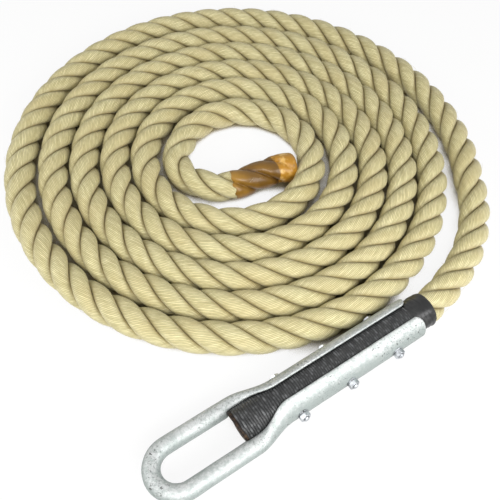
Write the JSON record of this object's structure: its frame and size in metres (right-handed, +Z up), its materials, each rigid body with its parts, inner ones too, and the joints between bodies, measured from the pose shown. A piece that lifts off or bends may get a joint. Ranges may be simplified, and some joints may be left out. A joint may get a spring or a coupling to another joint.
{
  "type": "climbing rope",
  "caption": "Thick laid climbing rope coiled flat, with a resin-dipped lower end and a forged hanging eye clamped to its upper end by half-round shells and through bolts.",
  "frame": {"origin": "middle of the footprint, on the surface that the rope lies on", "axes": "+Z up from that surface; +Y away from the hanging eye, across the coil; +X to the side of the coil where the rope leaves it for the eye"},
  "size_m": [0.5893, 0.7143, 0.0436],
  "materials": {
    "rope": "beige three-strand synthetic hemp, slightly glossy yarns",
    "dip": "amber brown resin over the strands, golden at the tip",
    "whipping": "black waxed twine wound tight",
    "tape": "black smooth tape, wound at a slant",
    "seal": "dark brown resin",
    "galvanised": "hot-dip galvanised, matte and mottled",
    "fasteners": "bright zinc plate"
  },
  "bodies": {
    "root": {"rope_coil": "rope", "rope_lead": "rope", "rope_tail": "rope", "rope_clamped_end": "rope", "dipped_end": "dip", "end_whipping": "whipping", "mouth_tape": "tape", "end_seal": "seal", "hanging_loop": "galvanised", "near_shell": "galvanised", "far_shell": "galvanised", "clamp_bolt_1": "fasteners", "clamp_bolt_2": "fasteners", "clamp_bolt_3": "fasteners", "spring_washer_1": "fasteners", "spring_washer_2": "fasteners", "spring_washer_3": "fasteners", "hex_nut_1": "fasteners", "hex_nut_2": "fasteners", "hex_nut_3": "fasteners"}
  },
  "joints": []
}
